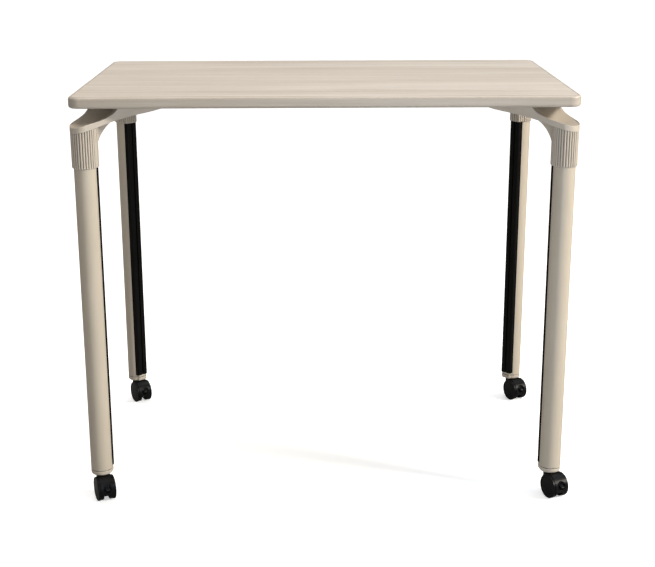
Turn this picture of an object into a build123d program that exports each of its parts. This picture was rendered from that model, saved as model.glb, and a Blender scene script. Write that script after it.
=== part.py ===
"""Rectangular table on four profiled legs with cast corner brackets and braked twin-wheel castors.

Millimetres, +Z up, floor at z = 0, table centre at x = y = 0, front edge towards -Y.
Leg parts are drawn once on a leg axis with local +X towards the table centre,
castor parts once on a swivel axis with local +X along the trail, then placed at each corner.
"""

import os
from math import cos, radians, sin

from build123d import *

os.makedirs("parts", exist_ok=True)

# ---------------------------------------------------------------- table top
TOP_WIDTH = 900.0
TOP_DEPTH = 555.0
TOP_Z = 765.0
TOP_THICKNESS = 20.5
UNDERSIDE_Z = TOP_Z - TOP_THICKNESS
PLAN_CORNER_R = 20.0
BAND_THICKNESS = 6.5
BAND_ROUNDING = 5.0
LAMINATE_T = 0.9
BACKING_T = 0.7
CORE_WIDTH = TOP_WIDTH - 2 * BAND_THICKNESS
CORE_DEPTH = TOP_DEPTH - 2 * BAND_THICKNESS
CORE_CORNER_R = PLAN_CORNER_R - BAND_THICKNESS

# ---------------------------------------------------------------- legs
LEG_INSET = 22.7
LEG_R = 20.0
LEG_WALL = 2.0
LEG_FLAT_X = 11.0
LEG_TOP_Z = 703.5
LEG_BOTTOM_Z = 59.0
CHANNEL_HALF = 14.5
SLOT_HALF = 4.0
STRIP_FACE_X = 21.3
STRIP_TONGUE_X = 7.6
STRIP_HALF = 13.2
STRIP_FOOT_T = 1.4
STRIP_SHOULDER_R = 4.3
STRIP_TOP_Z = 636.3
STRIP_BOTTOM_Z = 62.0
STRIP_GROOVE_HALF = 1.9
STRIP_GROOVE_DEPTH = 2.4

# ---------------------------------------------------------------- corner bracket
COLLAR_BOTTOM_Z = 636.5
RIB_BOTTOM_Z = 639.0
RIB_R = 1.95
RIB_END_R = 0.9
RIB_END_H = 1.6
RIB_PITCH = 4.55
COLLAR_BASE_R = 21.0
COLLAR_FACE_X = 21.2
COLLAR_FACE_HALF = 13.5
COLLAR_CORNER_R = 4.0
NOSE_R = 23.2
RIM_SPREAD_DEG = 20.0
RIM_LENGTH = 162.0
RIM_T = 3.4
SCOOP_LAND = 1.2
SCOOP_AXIS_NOSE_Z = 775.0
SCOOP_AXIS_REAR_Z = 830.0
FLANGE_T = 4.0
FLANGE_BACK_X = 132.0
WEB_HALF = 5.5
SCREW_SPOTS = ((130.0, 62.0), (130.0, -62.0), (84.0, 32.0), (84.0, -32.0))
SCREW_R = 3.0
SCREW_HEAD_R = 5.2
SCREW_HEAD_H = 3.2
SCREW_REACH = 16.0
INSERT_R = 4.6
INSERT_LENGTH = 14.0

# ---------------------------------------------------------------- foot plug
PLUG_BOTTOM_Z = 47.8
PLUG_ROUNDING = 3.8
PLUG_SPIGOT_TOP_Z = 92.0
PLUG_SPIGOT_FLAT_X = 6.5
PLUG_FACE_X = 20.6
PLUG_FACE_HALF = 11.5
PLUG_CORNER_R = 3.9
PLUG_GROOVE_Z = 56.8
PLUG_GROOVE_DEPTH = 1.4
PLUG_COLLAR_Z = 58.0

# ---------------------------------------------------------------- castor
WHEEL_R = 23.0
WHEEL_SHOULDER_R = 22.3
WHEEL_IN = 6.0
WHEEL_STEP = 13.0
WHEEL_OUT = 17.0
TRAIL = 18.0
AXLE_R = 3.0
AXLE_HALF = 14.4
RUNNING_GAP = 0.05
HOOD_R = 24.2
HOOD_INSIDE_R = 22.8
HOOD_HALF = 12.4
HOOD_WEB_HALF = 5.5
HOOD_LOW_DEG = -18.0
HOOD_HIGH_DEG = 118.0
NECK_R = 11.5
NECK_TOP_Z = 47.4
NECK_BOTTOM_Z = 34.0
STEM_R = 5.5
STEM_TOP_Z = 88.0
JOURNAL_R = 3.9
JOURNAL_BOTTOM_Z = 32.0
RECESS_R = 8.2
RECESS_DEG = 18.0
RECESS_DEPTH = 3.0
LEVER_PIVOT_R = 16.5
LEVER_PIVOT_DEG = 28.0
LEVER_REACH = 13.8
LEVER_REST_DEG = -9.6
LEVER_T = 3.0
LEVER_HALF = 3.3
LEVER_SLOT_HALF = 3.8
PIVOT_PIN_R = 1.5
PIVOT_PIN_HALF = 5.3

LEG_X = TOP_WIDTH / 2 - LEG_INSET
LEG_Y = TOP_DEPTH / 2 - LEG_INSET

# corner: leg axis, heading of the diagonal towards the table centre, trail heading of the castor
CORNERS = {
    "fl": (-LEG_X, -LEG_Y, 45.0, -68.0),
    "fr": (LEG_X, -LEG_Y, 135.0, -65.0),
    "rr": (LEG_X, LEG_Y, 225.0, -63.0),
    "rl": (-LEG_X, LEG_Y, 315.0, -60.0),
}


def place(shape, label, x, y, heading):
    """Export a copy of a locally drawn part, turned to its heading on a leg axis."""
    with BuildPart() as placed:
        with Locations(Location((x, y, 0), (0, 0, heading))):
            add(shape)
    placed.part.label = label
    export_step(placed.part, f"parts/{label}.step")


def save(shape, label):
    """Export a part that is drawn where it belongs."""
    shape.label = label
    export_step(shape, f"parts/{label}.step")


def egg_outline(radius, face_x, face_half, corner):
    """Round outline with a flatter nose towards the table centre, where the cover strip stands proud."""
    with BuildSketch() as outline:
        Circle(radius)
        with Locations((face_x / 2, 0)):
            Rectangle(face_x, 2 * face_half)
        fillet(outline.vertices().sort_by(Axis.X)[-2:], corner)
    return outline.sketch


def channel_outline(radius, flat_x, channel_half):
    """Round outline with an open channel cut into the side towards the table centre."""
    with BuildSketch() as outline:
        Circle(radius)
        with Locations((flat_x + radius / 2, 0)):
            Rectangle(radius, 2 * channel_half, mode=Mode.SUBTRACT)
    return outline.sketch


# ================================================================ table top
with BuildPart() as edge_band:
    with BuildSketch(Plane.XY.offset(UNDERSIDE_Z)):
        RectangleRounded(TOP_WIDTH, TOP_DEPTH, PLAN_CORNER_R)
    extrude(amount=TOP_THICKNESS)
    rims = edge_band.faces().sort_by(Axis.Z)
    fillet(rims[0].edges() + rims[-1].edges(), BAND_ROUNDING)
    with BuildSketch(Plane.XY.offset(UNDERSIDE_Z)):
        RectangleRounded(CORE_WIDTH, CORE_DEPTH, CORE_CORNER_R)
    extrude(amount=TOP_THICKNESS, mode=Mode.SUBTRACT)
save(edge_band.part, "edge_band")

with BuildPart() as top_laminate:
    with BuildSketch(Plane.XY.offset(TOP_Z - LAMINATE_T)):
        RectangleRounded(CORE_WIDTH, CORE_DEPTH, CORE_CORNER_R)
    extrude(amount=LAMINATE_T)
save(top_laminate.part, "top_laminate")

# screw positions of all four brackets in table coordinates
screw_points = []
for leg_x, leg_y, heading, trail_heading in CORNERS.values():
    turn = radians(heading)
    for spot_x, spot_y in SCREW_SPOTS:
        table_x = leg_x + spot_x * cos(turn) - spot_y * sin(turn)
        table_y = leg_y + spot_x * sin(turn) + spot_y * cos(turn)
        screw_points.append((table_x, table_y))

with BuildPart() as backing_sheet:
    with BuildSketch(Plane.XY.offset(UNDERSIDE_Z)):
        RectangleRounded(CORE_WIDTH, CORE_DEPTH, CORE_CORNER_R)
        with Locations(*screw_points):
            Circle(INSERT_R, mode=Mode.SUBTRACT)
    extrude(amount=BACKING_T)
save(backing_sheet.part, "backing_sheet")

with BuildPart() as top_core:
    with BuildSketch(Plane.XY.offset(UNDERSIDE_Z + BACKING_T)):
        RectangleRounded(CORE_WIDTH, CORE_DEPTH, CORE_CORNER_R)
    extrude(amount=TOP_THICKNESS - BACKING_T - LAMINATE_T)
    with BuildSketch(Plane.XY.offset(UNDERSIDE_Z)):
        with Locations(*screw_points):
            Circle(INSERT_R)
    extrude(amount=SCREW_REACH, mode=Mode.SUBTRACT)
save(top_core.part, "top_core")

with BuildPart() as insert_nuts:
    with BuildSketch(Plane.XY.offset(UNDERSIDE_Z)):
        with Locations(*screw_points):
            Circle(INSERT_R)
            Circle(SCREW_R, mode=Mode.SUBTRACT)
    extrude(amount=INSERT_LENGTH)
save(insert_nuts.part, "insert_nuts")

with BuildPart() as bracket_screws:
    with BuildSketch(Plane.XY.offset(UNDERSIDE_Z - FLANGE_T)):
        with Locations(*screw_points):
            Circle(SCREW_R - 0.05)
    extrude(amount=FLANGE_T + INSERT_LENGTH - 1)
    with BuildSketch(Plane.XY.offset(UNDERSIDE_Z - FLANGE_T)):
        with Locations(*screw_points):
            Circle(SCREW_HEAD_R)
    extrude(amount=-SCREW_HEAD_H)
    head_rims = bracket_screws.faces().sort_by(Axis.Z)[: len(screw_points)]
    fillet(head_rims.edges(), 1.4)
    with BuildSketch(Plane.XY.offset(UNDERSIDE_Z - FLANGE_T - SCREW_HEAD_H)):
        with Locations(*screw_points):
            RegularPolygon(2.3, 6)
    extrude(amount=2.2, mode=Mode.SUBTRACT)
save(bracket_screws.part, "bracket_screws")

# ================================================================ corner bracket
# side view of the arm on the diagonal, x from the leg axis inwards
with BuildPart() as arm:
    with BuildSketch(Plane.XZ):
        with BuildLine():
            Line((-26, 709), (-26, 700.5))
            Spline((-26, 700.5), (10.9, 711), (41, 720.2), (72, 727.2), (119.9, 735.8), (134, 740.5))
            Line((134, 740.5), (155, 740.5))
            Line((155, 740.5), (155, UNDERSIDE_Z))
            Line((155, UNDERSIDE_Z), (48.5, UNDERSIDE_Z))
            Spline((48.5, UNDERSIDE_Z), (34.4, 729.9), (4.8, 719.2), (-26, 709))
        make_face()
    extrude(amount=95, both=True)


def arm_plan(inset, nose_r):
    """Plan of the arm: nose round the leg, rims spreading inwards, shallow arc at the back."""
    spread = radians(RIM_SPREAD_DEG)
    start = (-nose_r * sin(spread), nose_r * cos(spread))
    reach = RIM_LENGTH - inset
    tip = (start[0] + reach * cos(spread), start[1] + reach * sin(spread))
    with BuildSketch() as plan:
        with BuildLine():
            ThreePointArc((start[0], start[1]), (-nose_r, 0), (start[0], -start[1]))
            Line((start[0], -start[1]), (tip[0], -tip[1]))
            ThreePointArc((tip[0], -tip[1]), (FLANGE_BACK_X - inset, 0), (tip[0], tip[1]))
            Line((tip[0], tip[1]), (start[0], start[1]))
        make_face()
        tips = plan.vertices().sort_by(Axis.X)[-2:]
        fillet(tips, 7)
    return plan.sketch


outer_plan = arm_plan(0, NOSE_R)
inner_plan = arm_plan(RIM_T, NOSE_R - RIM_T)

# trough on top of the arm: a bowl over the leg that widens and climbs under the table
with BuildPart() as scoop:
    with BuildSketch(Plane.XZ):
        with BuildLine():
            Line((-30, SCOOP_AXIS_NOSE_Z), (-30, 716))
            Spline(
                (-30, 716), (-22, 711.8), (-13, 711.4), (-2, 712.8), (12, 715.8),
                (28, 720.6), (40, 726), (50, 734), (60, 746),
            )
            Line((60, 746), (60, SCOOP_AXIS_REAR_Z))
            Line((60, SCOOP_AXIS_REAR_Z), (-30, SCOOP_AXIS_NOSE_Z))
        make_face()
    revolve(axis=Axis((-30, 0, SCOOP_AXIS_NOSE_Z), (90, 0, SCOOP_AXIS_REAR_Z - SCOOP_AXIS_NOSE_Z)))
    with BuildSketch(Plane.XY.offset(690)):
        add(arm_plan(SCOOP_LAND, NOSE_R - SCOOP_LAND))
    extrude(amount=80, mode=Mode.INTERSECT)

# pockets under the arm, one each side of the gusset
with BuildPart() as pockets:
    with BuildSketch(Plane.XZ):
        with BuildLine():
            Line((44, 690), (44, 724))
            Spline((44, 724), (56, 731), (64, 738.5), (70, UNDERSIDE_Z - FLANGE_T))
            Line((70, UNDERSIDE_Z - FLANGE_T), (170, UNDERSIDE_Z - FLANGE_T))
            Line((170, UNDERSIDE_Z - FLANGE_T), (170, 690))
            Line((170, 690), (44, 690))
        make_face()
    extrude(amount=95, both=True)
    with BuildSketch(Plane.XY.offset(690)):
        add(inner_plan)
        Rectangle(400, 2 * WEB_HALF, mode=Mode.SUBTRACT)
    extrude(amount=80, mode=Mode.INTERSECT)

# ribbed collar round the top of the leg
collar_plan = egg_outline(COLLAR_BASE_R, COLLAR_FACE_X, COLLAR_FACE_HALF, COLLAR_CORNER_R)
collar_path = collar_plan.faces()[0].outer_wire()
rib_count = round(collar_path.length / RIB_PITCH)
rib_points = [collar_path @ (i / rib_count) for i in range(rib_count)]

with BuildPart() as collar:
    with BuildSketch(Plane.XY.offset(COLLAR_BOTTOM_Z)):
        add(collar_plan)
    extrude(amount=RIB_BOTTOM_Z - COLLAR_BOTTOM_Z)
    chamfer(collar.faces().sort_by(Axis.Z)[0].edges(), 0.6)
    with BuildSketch(Plane.XY.offset(RIB_BOTTOM_Z)):
        add(collar_plan)
        with Locations(*[(p.X, p.Y) for p in rib_points]):
            Circle(RIB_R)
    extrude(amount=82)
    with Locations(*[(p.X, p.Y, RIB_BOTTOM_Z - RIB_END_H / 2) for p in rib_points]):
        Cone(RIB_END_R, RIB_R, RIB_END_H)
    with BuildSketch(Plane.XZ):
        with BuildLine():
            Line((-30, 730), (-30, 704))
            Spline((-30, 704), (10.9, 714), (41, 723))
            Line((41, 723), (41, 730))
            Line((41, 730), (-30, 730))
        make_face()
    extrude(amount=60, both=True, mode=Mode.SUBTRACT)

with BuildPart() as corner_bracket:
    add(arm.part)
    with BuildSketch(Plane.XY.offset(690)):
        add(outer_plan)
    extrude(amount=80, mode=Mode.INTERSECT)
    add(scoop.part, mode=Mode.SUBTRACT)
    add(pockets.part, mode=Mode.SUBTRACT)
    # gusset on the diagonal, concave lower edge
    with BuildSketch(Plane.XZ):
        with BuildLine():
            Line((COLLAR_BASE_R - 0.5, 662), (COLLAR_BASE_R + 1, 662))
            Spline(
                (COLLAR_BASE_R + 1, 662), (34.3, 693), (56, 711.9), (104, 727),
                tangents=((0.22, 1), (1, 0.4)),
            )
            Line((104, 727), (104, 741.5))
            Line((104, 741.5), (62, 741.5))
            Line((62, 741.5), (45, 727))
            Line((45, 727), (COLLAR_BASE_R - 0.5, 716))
            Line((COLLAR_BASE_R - 0.5, 716), (COLLAR_BASE_R - 0.5, 662))
        make_face()
    extrude(amount=WEB_HALF, both=True)
    add(collar.part)
    # socket for the leg
    with BuildSketch(Plane.XY.offset(COLLAR_BOTTOM_Z - 1)):
        Circle(LEG_R)
    extrude(amount=LEG_TOP_Z - COLLAR_BOTTOM_Z + 1, mode=Mode.SUBTRACT)
    with BuildSketch(Plane.XY.offset(UNDERSIDE_Z - FLANGE_T - 1)):
        with Locations(*SCREW_SPOTS):
            Circle(SCREW_R + 0.3)
    extrude(amount=FLANGE_T + 2, mode=Mode.SUBTRACT)

# ================================================================ leg
with BuildPart() as leg_tube:
    with BuildSketch(Plane.XY.offset(LEG_BOTTOM_Z)):
        add(channel_outline(LEG_R, LEG_FLAT_X, CHANNEL_HALF))
        add(channel_outline(LEG_R - LEG_WALL, LEG_FLAT_X - LEG_WALL, LEG_R), mode=Mode.SUBTRACT)
        with Locations((LEG_FLAT_X, 0)):
            Rectangle(10, 2 * SLOT_HALF, mode=Mode.SUBTRACT)
    extrude(amount=LEG_TOP_Z - LEG_BOTTOM_Z)

with BuildPart() as leg_strip:
    with BuildSketch(Plane.XY.offset(STRIP_BOTTOM_Z)) as strip_section:
        with Locations(((LEG_FLAT_X + STRIP_FACE_X) / 2, 0)):
            Rectangle(STRIP_FACE_X - LEG_FLAT_X, 2 * STRIP_HALF)
        fillet(strip_section.vertices().sort_by(Axis.X)[-2:], STRIP_SHOULDER_R)
        with Locations((LEG_FLAT_X + STRIP_FOOT_T / 2, 0)):
            Rectangle(STRIP_FOOT_T, 2 * CHANNEL_HALF - 0.2)
        with Locations(((STRIP_TONGUE_X + LEG_FLAT_X) / 2, 0)):
            Rectangle(LEG_FLAT_X - STRIP_TONGUE_X, 2 * SLOT_HALF - 0.2)
        with Locations((STRIP_FACE_X, 0)):
            Rectangle(2 * STRIP_GROOVE_DEPTH, 2 * STRIP_GROOVE_HALF, mode=Mode.SUBTRACT)
    extrude(amount=STRIP_TOP_Z - STRIP_BOTTOM_Z)

plug_outline = egg_outline(LEG_R, PLUG_FACE_X, PLUG_FACE_HALF, PLUG_CORNER_R)

with BuildPart() as foot_plug:
    with BuildSketch(Plane.XY.offset(PLUG_BOTTOM_Z)):
        add(plug_outline)
    extrude(amount=PLUG_GROOVE_Z - PLUG_BOTTOM_Z)
    fillet(foot_plug.faces().sort_by(Axis.Z)[0].edges(), PLUG_ROUNDING)
    fillet(foot_plug.faces().sort_by(Axis.Z)[-1].edges(), 0.9)
    # seam groove
    with BuildSketch(Plane.XY.offset(PLUG_GROOVE_Z)):
        Circle(LEG_R - PLUG_GROOVE_DEPTH)
    extrude(amount=PLUG_COLLAR_Z - PLUG_GROOVE_Z)
    # collar under the tube, filling the tube's channel up to the strip
    with BuildSketch(Plane.XY.offset(PLUG_COLLAR_Z)):
        add(plug_outline)
    extrude(amount=LEG_BOTTOM_Z - PLUG_COLLAR_Z)
    with BuildSketch(Plane.XY.offset(LEG_BOTTOM_Z)):
        add(plug_outline)
        add(channel_outline(LEG_R, LEG_FLAT_X, CHANNEL_HALF), mode=Mode.SUBTRACT)
    extrude(amount=STRIP_BOTTOM_Z - LEG_BOTTOM_Z)
    with BuildSketch(Plane.XY.offset(LEG_BOTTOM_Z)):
        add(channel_outline(LEG_R - LEG_WALL, PLUG_SPIGOT_FLAT_X, LEG_R))
    extrude(amount=PLUG_SPIGOT_TOP_Z - LEG_BOTTOM_Z)
    with BuildSketch(Plane.XY.offset(PLUG_BOTTOM_Z)):
        Circle(STEM_R)
    extrude(amount=STEM_TOP_Z - PLUG_BOTTOM_Z, mode=Mode.SUBTRACT)

# ================================================================ castor
HUB = Vector(TRAIL, 0, WHEEL_R)


def on_hood(radius, angle_deg):
    """Point in the castor's side view at a radius and angle round the wheel centre."""
    turn = radians(angle_deg)
    return (HUB.X + radius * cos(turn), HUB.Z + radius * sin(turn))


def hub_plane(angle_deg):
    """Plane through the hub whose normal leaves along the given angle in the side view."""
    turn = radians(angle_deg)
    return Plane(origin=HUB, x_dir=(0, 1, 0), z_dir=(cos(turn), 0, sin(turn)))


with BuildPart() as caster_stem:
    with BuildSketch(Plane.XY.offset(PLUG_BOTTOM_Z)):
        Circle(STEM_R)
    extrude(amount=STEM_TOP_Z - PLUG_BOTTOM_Z)
    with BuildSketch(Plane.XY.offset(JOURNAL_BOTTOM_Z)):
        Circle(JOURNAL_R)
    extrude(amount=PLUG_BOTTOM_Z - JOURNAL_BOTTOM_Z)

PIVOT = Vector(on_hood(LEVER_PIVOT_R, LEVER_PIVOT_DEG)[0], 0, on_hood(LEVER_PIVOT_R, LEVER_PIVOT_DEG)[1])

with BuildPart() as caster_hood:
    # middle plate between the wheels
    with BuildSketch(Plane.XZ):
        with BuildLine():
            Line((-6.5, 45), (-6.5, 34))
            Line((-6.5, 34), (8, 15))
            Line((8, 15), (18, 12))
            Line((18, 12), (29, 12.5))
            Line((29, 12.5), on_hood(HOOD_R, HOOD_LOW_DEG))
            ThreePointArc(on_hood(HOOD_R, HOOD_LOW_DEG), on_hood(HOOD_R, 50), on_hood(HOOD_R, HOOD_HIGH_DEG))
            Line(on_hood(HOOD_R, HOOD_HIGH_DEG), (-6.5, 45))
        make_face()
    extrude(amount=HOOD_WEB_HALF, both=True)
    # fender over the inner half of both treads
    with BuildSketch(Plane.XZ):
        with BuildLine():
            ThreePointArc(on_hood(HOOD_R, HOOD_LOW_DEG), on_hood(HOOD_R, 50), on_hood(HOOD_R, HOOD_HIGH_DEG))
            Line(on_hood(HOOD_R, HOOD_HIGH_DEG), on_hood(HOOD_INSIDE_R, HOOD_HIGH_DEG))
            ThreePointArc(
                on_hood(HOOD_INSIDE_R, HOOD_HIGH_DEG),
                on_hood(HOOD_INSIDE_R, 50),
                on_hood(HOOD_INSIDE_R, HOOD_LOW_DEG),
            )
            Line(on_hood(HOOD_INSIDE_R, HOOD_LOW_DEG), on_hood(HOOD_R, HOOD_LOW_DEG))
        make_face()
    extrude(amount=HOOD_HALF, both=True)
    # swivel neck, cleared round the wheels
    with BuildSketch(Plane.XY.offset(NECK_BOTTOM_Z)):
        Circle(NECK_R)
    extrude(amount=NECK_TOP_Z - NECK_BOTTOM_Z)
    for side in (1, -1):
        with BuildSketch(Plane(origin=(HUB.X, side * HOOD_WEB_HALF, HUB.Z), z_dir=(0, side, 0))):
            Circle(HOOD_INSIDE_R)
        extrude(amount=12, mode=Mode.SUBTRACT)
    # bore for the stem and for the axle
    with BuildSketch(Plane.XY.offset(JOURNAL_BOTTOM_Z - 0.3)):
        Circle(JOURNAL_R + RUNNING_GAP)
    extrude(amount=NECK_TOP_Z - JOURNAL_BOTTOM_Z + 1, mode=Mode.SUBTRACT)
    with BuildSketch(Plane.XZ):
        with Locations((HUB.X, HUB.Z)):
            Circle(AXLE_R)
        with Locations((PIVOT.X, PIVOT.Z)):
            Circle(PIVOT_PIN_R)
    extrude(amount=20, both=True, mode=Mode.SUBTRACT)
    # round recess with the lever slot
    with BuildSketch(hub_plane(RECESS_DEG).offset(HOOD_R - RECESS_DEPTH)):
        Circle(RECESS_R)
    extrude(amount=6, mode=Mode.SUBTRACT)
    with BuildSketch(Plane.XZ):
        with BuildLine():
            Polyline(
                (PIVOT.X - 3.6, PIVOT.Z + 3.6),
                (PIVOT.X + 14, PIVOT.Z + 1.8),
                (PIVOT.X + 14, PIVOT.Z - 11.4),
                (PIVOT.X - 3.6, PIVOT.Z - 4.6),
                close=True,
            )
        make_face()
    extrude(amount=LEVER_SLOT_HALF, both=True, mode=Mode.SUBTRACT)

with BuildPart() as caster_axle:
    with BuildSketch(Plane.XZ):
        with Locations((HUB.X, HUB.Z)):
            Circle(AXLE_R)
    extrude(amount=AXLE_HALF, both=True)
    chamfer(caster_axle.edges().filter_by(GeomType.CIRCLE), 0.5)

with BuildPart() as brake_pivot:
    with BuildSketch(Plane.XZ):
        with Locations((PIVOT.X, PIVOT.Z)):
            Circle(PIVOT_PIN_R)
    extrude(amount=PIVOT_PIN_HALF, both=True)

rest = radians(LEVER_REST_DEG)
arm_mid = (PIVOT.X + 0.5 * LEVER_REACH * cos(rest), PIVOT.Z + 0.5 * LEVER_REACH * sin(rest))
with BuildPart() as brake_lever:
    with BuildSketch(Plane.XZ):
        with Locations((PIVOT.X, PIVOT.Z)):
            Circle(2.9)
        with Locations(Location((arm_mid[0], arm_mid[1], 0), (0, 0, LEVER_REST_DEG))):
            Rectangle(LEVER_REACH, LEVER_T)
        with Locations((PIVOT.X, PIVOT.Z)):
            Circle(PIVOT_PIN_R + RUNNING_GAP, mode=Mode.SUBTRACT)
    extrude(amount=LEVER_HALF, both=True)
    tip_edges = brake_lever.edges().filter_by(Axis.Y).sort_by(Axis.X)[-2:]
    fillet(tip_edges, 0.9)


def wheel(side):
    """One wheel of the pair, on the side given by its sign along the axle."""
    beside_hub = Plane(origin=HUB, x_dir=(0, side, 0), z_dir=(side, 0, 0))
    with BuildPart() as disc:
        with BuildSketch(beside_hub):
            with BuildLine():
                Polyline(
                    (WHEEL_IN, AXLE_R + RUNNING_GAP),
                    (WHEEL_IN, WHEEL_SHOULDER_R - 0.5),
                    (WHEEL_IN + 0.5, WHEEL_SHOULDER_R),
                    (WHEEL_STEP, WHEEL_SHOULDER_R),
                    (WHEEL_STEP, WHEEL_R),
                    (WHEEL_OUT - 1.6, WHEEL_R),
                )
                ThreePointArc(
                    (WHEEL_OUT - 1.6, WHEEL_R),
                    (WHEEL_OUT - 0.45, WHEEL_R - 0.5),
                    (WHEEL_OUT, WHEEL_R - 1.7),
                )
                Polyline(
                    (WHEEL_OUT, WHEEL_R - 1.7),
                    (WHEEL_OUT, WHEEL_R - 3.9),
                    (WHEEL_OUT - 0.7, WHEEL_R - 4.3),
                    (WHEEL_OUT - 0.7, WHEEL_R - 4.9),
                )
                ThreePointArc((WHEEL_OUT - 0.7, WHEEL_R - 4.9), (WHEEL_OUT - 0.16, 12), (WHEEL_OUT, 6))
                Polyline(
                    (WHEEL_OUT, 6),
                    (WHEEL_OUT, 0),
                    (AXLE_HALF + 0.4, 0),
                    (AXLE_HALF + 0.4, AXLE_R + RUNNING_GAP),
                    (WHEEL_IN, AXLE_R + RUNNING_GAP),
                )
            make_face()
        revolve(axis=Axis(HUB, (0, 1, 0)))
    return disc.part


wheels = {"l": wheel(-1), "r": wheel(1)}

# ================================================================ the same parts at every corner
LEG_PARTS = {
    "corner_bracket": corner_bracket.part,
    "leg_tube": leg_tube.part,
    "leg_strip": leg_strip.part,
    "foot_plug": foot_plug.part,
}
CASTER_PARTS = {
    "caster_stem": caster_stem.part,
    "caster_hood": caster_hood.part,
    "caster_axle": caster_axle.part,
    "brake_pivot": brake_pivot.part,
    "brake_lever": brake_lever.part,
}
for corner, (leg_x, leg_y, heading, trail_heading) in CORNERS.items():
    for name, shape in LEG_PARTS.items():
        place(shape, f"{name}_{corner}", leg_x, leg_y, heading)
    for name, shape in CASTER_PARTS.items():
        place(shape, f"{name}_{corner}", leg_x, leg_y, trail_heading)
    for side, shape in wheels.items():
        place(shape, f"caster_wheel_{corner}_{side}", leg_x, leg_y, trail_heading)
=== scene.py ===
"""Looks of a four-legged ward table on braked twin-wheel castors, over its CAD frame."""

import math

import bpy
from mathutils import Matrix, Vector

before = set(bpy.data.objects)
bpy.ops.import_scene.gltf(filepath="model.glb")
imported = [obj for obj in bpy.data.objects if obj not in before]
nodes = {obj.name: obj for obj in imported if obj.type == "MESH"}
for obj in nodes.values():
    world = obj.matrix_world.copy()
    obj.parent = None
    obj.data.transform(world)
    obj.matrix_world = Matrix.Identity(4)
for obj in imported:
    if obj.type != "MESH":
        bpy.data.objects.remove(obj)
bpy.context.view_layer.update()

scene = bpy.context.scene
scene.view_settings.view_transform = "Standard"

CORNERS = ("fl", "fr", "rl", "rr")


# ---------------------------------------------------------------- camera

CAMERA_PLACE = (-0.0145, -2.514, 1.081)
CAMERA_LENS = 70.7
CAMERA_SENSOR = 36.0
CAMERA_DOWN = math.radians(16.307)
CAMERA_RIGHT = math.radians(0.46)
CAMERA_ROLL = math.radians(0.15)


def add_camera():
    """The camera at a standing person's eye level, looking down at the front of the table."""
    forward = Vector((
        math.sin(CAMERA_RIGHT) * math.cos(CAMERA_DOWN),
        math.cos(CAMERA_RIGHT) * math.cos(CAMERA_DOWN),
        -math.sin(CAMERA_DOWN),
    ))
    level = Vector((math.cos(CAMERA_RIGHT), -math.sin(CAMERA_RIGHT), 0.0))
    below = forward.cross(level)
    right = math.cos(CAMERA_ROLL) * level + math.sin(CAMERA_ROLL) * below
    up = math.sin(CAMERA_ROLL) * level - math.cos(CAMERA_ROLL) * below
    camera = bpy.data.objects.new("camera", bpy.data.cameras.new("camera"))
    camera.data.lens = CAMERA_LENS
    camera.data.sensor_width = CAMERA_SENSOR
    camera.data.clip_end = 100.0
    turn = Matrix((right, up, -forward)).transposed().to_4x4()
    camera.matrix_world = Matrix.Translation(CAMERA_PLACE) @ turn
    scene.collection.objects.link(camera)
    scene.camera = camera


# ---------------------------------------------------------------- light and floor

# name, place, target, size, power, colour
AREA_LAMPS = (
    ("key", (4.1, -1.7, 2.68), (0.0, 0.0, 0.5), 0.8, 228.0, (1.0, 0.95, 0.86)),
    ("fill", (0.1, -1.55, 0.8), (0.0, 0.0, 0.45), 0.7, 3.6, (0.86, 0.94, 1.0)),
    ("rim", (-2.6, 2.2, 2.4), (0.0, 0.0, 0.5), 1.2, 13.0, (1.0, 0.93, 0.84)),
    ("left", (-1.2, -0.7, 2.9), (-0.3, 0.0, 0.7), 1.0, 10.0, (1.0, 0.90, 0.78)),
    ("cool", (0.9, 0.3, 2.2), (0.3, 0.0, 0.7), 0.8, 3.0, (0.35, 0.62, 1.0)),
    ("front", (0.35, -1.35, 0.45), (0.43, -0.27, 0.25), 0.35, 1.3, (0.42, 0.66, 1.0)),
)
OVERHEAD_POWER = 1.48
OVERHEAD_SOFTNESS = math.radians(42)
OVERHEAD_LEAN = (math.radians(-8), math.radians(6), 0.0)
OVERHEAD_COLOUR = (0.985, 0.985, 1.0)

# what the camera sees, and what lights the table
BLACK = (0.0, 0.0, 0.0)
SKY_SEEN = (1.0, 1.0, 1.0)
SKY_LIT = (0.145, 0.14, 0.134)
FLOOR_SEEN = (0.98, 0.98, 0.98)
FLOOR_LIT = (0.37, 0.36, 0.345)
FLOOR_GLOW = (0.49, 0.49, 0.49)
FLOOR_HALF = 60.0


def add_area(name, place, target, size, power, colour):
    """A soft box at place, turned to target."""
    data = bpy.data.lights.new(name, "AREA")
    data.shape = "DISK"
    data.size = size
    data.energy = power
    data.color = colour
    lamp = bpy.data.objects.new(name, data)
    lamp.location = place
    aim = Vector(target) - Vector(place)
    lamp.rotation_euler = aim.to_track_quat("-Z", "Y").to_euler()
    lamp.visible_camera = False
    scene.collection.objects.link(lamp)


def seen_and_lit(tree, seen, lit):
    """A colour source that is seen by the camera and lit for everything else."""
    path = tree.nodes.new("ShaderNodeLightPath")
    mix = tree.nodes.new("ShaderNodeMixRGB")
    mix.inputs["Color1"].default_value = (*lit, 1.0)
    mix.inputs["Color2"].default_value = (*seen, 1.0)
    tree.links.new(path.outputs["Is Camera Ray"], mix.inputs["Fac"])
    return mix.outputs["Color"]


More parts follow.
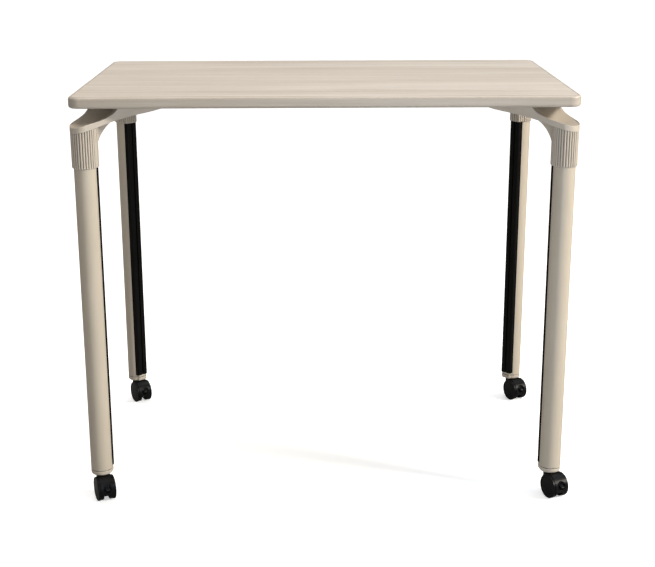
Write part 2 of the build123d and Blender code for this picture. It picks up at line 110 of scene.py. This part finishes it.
def add_lights():
    """A warm key from the right, cool fills in front, weak lights at left, behind and above."""
    for row in AREA_LAMPS:
        add_area(*row)
    sky = bpy.data.lights.new("overhead", "SUN")
    sky.energy = OVERHEAD_POWER
    sky.angle = OVERHEAD_SOFTNESS
    sky.color = OVERHEAD_COLOUR
    lamp = bpy.data.objects.new("overhead", sky)
    lamp.rotation_euler = OVERHEAD_LEAN
    scene.collection.objects.link(lamp)
    world = bpy.data.worlds.new("studio")
    world.use_nodes = True
    tree = world.node_tree
    colour = seen_and_lit(tree, SKY_SEEN, SKY_LIT)
    tree.links.new(colour, tree.nodes["Background"].inputs["Color"])
    scene.world = world


def add_floor():
    """A plain pale studio floor."""
    half = FLOOR_HALF
    mesh = bpy.data.meshes.new("studio_floor")
    mesh.from_pydata(
        [(-half, -half, 0.0), (half, -half, 0.0), (half, half, 0.0), (-half, half, 0.0)],
        [],
        [(0, 1, 2, 3)],
    )
    floor = bpy.data.objects.new("studio_floor", mesh)
    scene.collection.objects.link(floor)
    mat = bpy.data.materials.new("floor_paint")
    mat.use_nodes = True
    paint = mat.node_tree.nodes["Principled BSDF"]
    colour = seen_and_lit(mat.node_tree, FLOOR_SEEN, FLOOR_LIT)
    mat.node_tree.links.new(colour, paint.inputs["Base Color"])
    glow = seen_and_lit(mat.node_tree, FLOOR_GLOW, BLACK)
    mat.node_tree.links.new(glow, paint.inputs["Emission Color"])
    paint.inputs["Emission Strength"].default_value = 1.0
    paint.inputs["Roughness"].default_value = 0.9
    paint.inputs["Specular IOR Level"].default_value = 0.1
    mesh.materials.append(mat)


# ---------------------------------------------------------------- node helpers

SOCKETS = {
    "roughness": "Roughness",
    "metallic": "Metallic",
    "specular": "Specular IOR Level",
    "coat": "Coat Weight",
    "coat_roughness": "Coat Roughness",
}


class Surface:
    """A principled material whose texture nodes work in object metres."""

    def __init__(self, name, **settings):
        self.material = bpy.data.materials.new(name)
        self.material.use_nodes = True
        self.tree = self.material.node_tree
        self.shader = self.tree.nodes["Principled BSDF"]
        for key, value in settings.items():
            self.shader.inputs[SOCKETS[key]].default_value = value
        self.coords = self.node("ShaderNodeTexCoord").outputs["Object"]

    def node(self, kind, **settings):
        made = self.tree.nodes.new(kind)
        for key, value in settings.items():
            setattr(made, key, value)
        return made

    def join(self, source, socket):
        self.tree.links.new(source, socket)

    def noise(self, stretch, detail=3.0, rough=0.55, warp=0.0, shift=0.0):
        """Noise whose grains per metre along X, Y and Z are the three stretch numbers."""
        mapping = self.node("ShaderNodeMapping")
        mapping.inputs["Location"].default_value = (shift, shift * 1.7, shift * 0.6)
        mapping.inputs["Scale"].default_value = stretch
        self.join(self.coords, mapping.inputs["Vector"])
        texture = self.node("ShaderNodeTexNoise")
        texture.inputs["Scale"].default_value = 1.0
        texture.inputs["Detail"].default_value = detail
        texture.inputs["Roughness"].default_value = rough
        texture.inputs["Distortion"].default_value = warp
        self.join(mapping.outputs["Vector"], texture.inputs["Vector"])
        return texture.outputs["Fac"]

    def flakes(self, per_metre):
        """Random cells, for chips and speckle."""
        texture = self.node("ShaderNodeTexVoronoi")
        texture.inputs["Scale"].default_value = per_metre
        self.join(self.coords, texture.inputs["Vector"])
        return texture.outputs["Color"]

    def spread(self, source, low, high, out_low=0.0, out_high=1.0):
        """Maps low..high of source onto out_low..out_high, clamped."""
        made = self.node("ShaderNodeMapRange")
        made.inputs["From Min"].default_value = low
        made.inputs["From Max"].default_value = high
        made.inputs["To Min"].default_value = out_low
        made.inputs["To Max"].default_value = out_high
        self.join(source, made.inputs["Value"])
        return made.outputs["Result"]

    def math(self, operation, a, b):
        made = self.node("ShaderNodeMath", operation=operation)
        for value, socket in zip((a, b), made.inputs):
            if isinstance(value, (int, float)):
                socket.default_value = value
            else:
                self.join(value, socket)
        return made.outputs["Value"]

    def blend(self, factor, a, b):
        """Colour a where factor is 0 and colour b where it is 1."""
        made = self.node("ShaderNodeMix", data_type="RGBA")
        self.join(factor, made.inputs["Factor"])
        for value, name in ((a, "A"), (b, "B")):
            socket = [s for s in made.inputs if s.name == name and s.type == "RGBA"][0]
            if isinstance(value, tuple):
                socket.default_value = (*value, 1.0)
            else:
                self.join(value, socket)
        return [s for s in made.outputs if s.type == "RGBA"][0]

    def edges(self, radius):
        """1 on edges sharper than radius, 0 on open faces."""
        bevel = self.node("ShaderNodeBevel", samples=4)
        bevel.inputs["Radius"].default_value = radius
        geometry = self.node("ShaderNodeNewGeometry")
        product = self.node("ShaderNodeVectorMath", operation="DOT_PRODUCT")
        self.join(bevel.outputs["Normal"], product.inputs[0])
        self.join(geometry.outputs["Normal"], product.inputs[1])
        return self.spread(product.outputs["Value"], 0.99, 0.80)

    def recess(self, reach, shallow, deep):
        """1 where walls within reach leave less than deep of the view open, 0 above shallow."""
        shade = self.node("ShaderNodeAmbientOcclusion", samples=8)
        shade.inputs["Distance"].default_value = reach
        return self.spread(shade.outputs["AO"], shallow, deep)

    def relief(self, height, depth, rounding=0.0):
        """Bump of that depth in metres, over edges rounded by rounding."""
        made = self.node("ShaderNodeBump")
        made.inputs["Strength"].default_value = 1.0
        made.inputs["Distance"].default_value = depth
        self.join(height, made.inputs["Height"])
        if rounding:
            bevel = self.node("ShaderNodeBevel", samples=6)
            bevel.inputs["Radius"].default_value = rounding
            self.join(bevel.outputs["Normal"], made.inputs["Normal"])
        self.join(made.outputs["Normal"], self.shader.inputs["Normal"])

    def colour(self, source):
        self.join(source, self.shader.inputs["Base Color"])

    def roughness(self, source):
        self.join(source, self.shader.inputs["Roughness"])


# ---------------------------------------------------------------- materials

# reach in metres, and the shares of open view where the painted shade starts and where it is full
GROOVE_SHADE = (0.003, 0.85, 0.35)
HOLLOW_SHADE = (0.030, 0.42, 0.12)
# painted shade: how much the deep hollows take, how strongly it darkens, and its near-black brown
# colour
HOLLOW_SHADE_SHARE = 0.9
PAINTED_SHADE_SHARE = 0.85
PAINTED_SHADE = (0.085, 0.070, 0.055)
# pale edge colour: rubbed paint, brightened further as a painted highlight along the rims
RUBBED_AND_HIGHLIT_COAT = (0.92, 0.87, 0.77)
RUBBED_BAND = (0.80, 0.73, 0.62)
PORE = (0.43, 0.355, 0.28)


def wood_laminate():
    """Pale greige woodgrain laminate, its grain along the table's length."""
    s = Surface("wood_laminate", coat=0.08, coat_roughness=0.35)
    broad = s.noise((0.9, 13.0, 13.0), detail=3.0, warp=0.4, shift=3.1)
    streak = s.noise((3.0, 95.0, 95.0), detail=4.0, rough=0.6, warp=0.25, shift=1.3)
    fine = s.noise((9.0, 520.0, 520.0), detail=3.0, rough=0.6, shift=5.7)
    pores = s.noise((34.0, 1500.0, 1500.0), detail=2.0, shift=8.9)
    tone = s.math("ADD", s.math("MULTIPLY", broad, 0.45), s.math("MULTIPLY", streak, 0.38))
    tone = s.math("ADD", tone, s.math("MULTIPLY", fine, 0.17))
    base = s.blend(s.spread(tone, 0.39, 0.61), (0.590, 0.515, 0.432), (0.775, 0.705, 0.620))
    pore = s.spread(pores, 0.60, 0.72)
    s.colour(s.blend(s.math("MULTIPLY", pore, 0.55), base, PORE))
    s.roughness(s.spread(streak, 0.3, 0.7, 0.42, 0.54))
    height = s.math("SUBTRACT", s.math("MULTIPLY", fine, 0.6), pore)
    s.relief(height, 0.00006, rounding=0.0008)
    return s.material


def edge_band():
    """Moulded edge band in the laminate's colour, streaked along its length."""
    s = Surface("edge_band", coat=0.1, coat_roughness=0.3)
    layers = s.noise((3.0, 3.0, 420.0), detail=4.0, rough=0.6, shift=2.2)
    cloud = s.noise((7.0, 7.0, 60.0), detail=3.0, shift=6.1)
    grain = s.noise((900.0, 900.0, 900.0), detail=2.0)
    tone = s.math("ADD", s.math("MULTIPLY", layers, 0.6), s.math("MULTIPLY", cloud, 0.4))
    base = s.blend(s.spread(tone, 0.35, 0.65), (0.488, 0.422, 0.350), (0.592, 0.530, 0.458))
    s.colour(s.blend(s.math("MULTIPLY", s.edges(0.0012), 0.35), base, RUBBED_BAND))
    s.roughness(s.spread(cloud, 0.3, 0.7, 0.38, 0.48))
    s.relief(s.math("ADD", s.math("MULTIPLY", layers, 0.5), grain), 0.00003, rounding=0.0006)
    return s.material


def chipboard():
    """Pressed wood chips of mixed tone."""
    s = Surface("chipboard", roughness=0.9)
    chips = s.flakes(240.0)
    dust = s.noise((700.0, 700.0, 700.0))
    s.colour(s.blend(chips, (0.28, 0.19, 0.11), (0.60, 0.46, 0.30)))
    s.relief(dust, 0.0003)
    return s.material


def backing():
    """Off-white melamine balancing sheet under the top."""
    s = Surface("backing", specular=0.4)
    peel = s.noise((420.0, 420.0, 420.0), detail=2.0)
    cloud = s.noise((9.0, 9.0, 9.0), detail=4.0, shift=4.0)
    s.colour(s.blend(s.spread(cloud, 0.3, 0.7), (0.56, 0.53, 0.48), (0.64, 0.61, 0.56)))
    s.roughness(s.spread(cloud, 0.3, 0.7, 0.5, 0.62))
    s.relief(peel, 0.00004)
    return s.material


def coated_metal(name, low, high, grain, depth, rounding, wear_and_highlight):
    """Satin powder coat: fine orange peel, faint clouding, edges lightened partly by rubbing and
    partly as a painted highlight, painted shade in grooves and hollows.
    """
    s = Surface(name, coat=0.22, coat_roughness=0.28)
    peel = s.noise((grain, grain, grain), detail=2.0)
    speck = s.noise((2600.0, 2600.0, 2600.0), detail=1.0, shift=2.0)
    cloud = s.noise((14.0, 14.0, 5.0), detail=4.0, shift=7.0)
    tone = s.math("ADD", s.math("MULTIPLY", cloud, 0.7), s.math("MULTIPLY", speck, 0.3))
    base = s.blend(s.spread(tone, 0.35, 0.65), low, high)
    # painted shade: occlusion darkens the rib grooves and the deep ends of the bracket troughs,
    # where shade falls
    grooves = s.recess(*GROOVE_SHADE)
    hollows = s.math("MULTIPLY", s.recess(*HOLLOW_SHADE), HOLLOW_SHADE_SHARE)
    painted_shade_mask = s.math("MAXIMUM", grooves, hollows)
    # edges outside the painted shade are lightened: partly rubbed wear, partly a painted highlight
    open_edge = s.math("MULTIPLY", s.edges(0.0010), s.math("SUBTRACT", 1.0, painted_shade_mask))
    worn_and_highlit = s.blend(s.math("MULTIPLY", open_edge, wear_and_highlight), base, RUBBED_AND_HIGHLIT_COAT)
    # the painted shade is mixed over the base and edge colour
    s.colour(s.blend(s.math("MULTIPLY", painted_shade_mask, PAINTED_SHADE_SHARE), worn_and_highlit, PAINTED_SHADE))
    s.roughness(s.spread(cloud, 0.3, 0.7, 0.34, 0.44))
    s.relief(s.math("ADD", peel, s.math("MULTIPLY", speck, 0.3)), depth, rounding=rounding)
    return s.material


def black_plastic(name, base, grain, depth, rough, gloss):
    """Moulded black plastic with a fine spark-eroded grain and rubbed edges."""
    s = Surface(name, specular=gloss)
    pits = s.noise((grain, grain, grain), detail=3.0, rough=0.6)
    cloud = s.noise((30.0, 30.0, 30.0), detail=3.0, shift=5.0)
    lighter = tuple(2.2 * c for c in base)
    rubbed = tuple(5.0 * c for c in base)
    tone = s.blend(s.spread(cloud, 0.35, 0.7), base, lighter)
    s.colour(s.blend(s.math("MULTIPLY", s.edges(0.0007), 0.5), tone, rubbed))
    s.roughness(s.spread(cloud, 0.3, 0.7, rough - 0.05, rough + 0.06))
    s.relief(pits, depth, rounding=0.0006)
    return s.material


def bright_metal(name, low, high, rough):
    """Plated steel with fine turning marks and slightly dull patches."""
    s = Surface(name, metallic=1.0)
    marks = s.noise((90.0, 90.0, 2400.0), detail=3.0)
    cloud = s.noise((160.0, 160.0, 160.0), detail=4.0, shift=3.0)
    s.colour(s.blend(s.spread(cloud, 0.3, 0.7), low, high))
    s.roughness(s.spread(cloud, 0.3, 0.7, rough - 0.08, rough + 0.1))
    s.relief(marks, 0.00002, rounding=0.0003)
    return s.material


def dress():
    """Gives every CAD node its material."""
    finish = {
        "top_core": chipboard(),
        "top_laminate": wood_laminate(),
        "backing_sheet": backing(),
        "edge_band": edge_band(),
        "bracket_screws": bright_metal("zinc_steel", (0.52, 0.52, 0.50), (0.70, 0.70, 0.67), 0.34),
        "insert_nuts": bright_metal("insert_steel", (0.50, 0.44, 0.30), (0.66, 0.58, 0.40), 0.40),
    }
    # the bracket's rims take a strong painted highlight along with wear
    bracket = coated_metal(
        "cast_bracket", (0.595, 0.515, 0.425), (0.665, 0.585, 0.490), 1100.0, 0.00007, 0.0009, 0.9
    )
    leg = coated_metal(
        "leg_finish", (0.575, 0.500, 0.400), (0.630, 0.555, 0.450), 1500.0, 0.00003, 0.0006, 0.3
    )
    cap = coated_metal(
        "foot_cap", (0.600, 0.525, 0.430), (0.660, 0.585, 0.485), 1900.0, 0.00004, 0.0010, 0.3
    )
    strip = black_plastic("black_strip", (0.0016, 0.0016, 0.0016), 1600.0, 0.00003, 0.36, 0.14)
    nylon = black_plastic("black_nylon", (0.0020, 0.0020, 0.0024), 1400.0, 0.00005, 0.40, 0.16)
    wheel = black_plastic("wheel_black", (0.0020, 0.0020, 0.0026), 1800.0, 0.00003, 0.38, 0.16)
    brake = black_plastic("brake_black", (0.0040, 0.0044, 0.0052), 1600.0, 0.00004, 0.38, 0.30)
    pin = bright_metal("pin_steel", (0.50, 0.50, 0.50), (0.66, 0.66, 0.66), 0.30)
    for corner in CORNERS:
        finish["corner_bracket_" + corner] = bracket
        finish["leg_tube_" + corner] = leg
        finish["foot_plug_" + corner] = cap
        finish["leg_strip_" + corner] = strip
        finish["caster_hood_" + corner] = nylon
        finish["brake_lever_" + corner] = brake
        for side in ("l", "r"):
            finish["caster_wheel_" + corner + "_" + side] = wheel
        for name in ("caster_stem_", "caster_axle_", "brake_pivot_"):
            finish[name + corner] = pin
    for name, material in finish.items():
        for slot in nodes[name].material_slots:
            slot.material = material


add_camera()
add_lights()
add_floor()
dress()
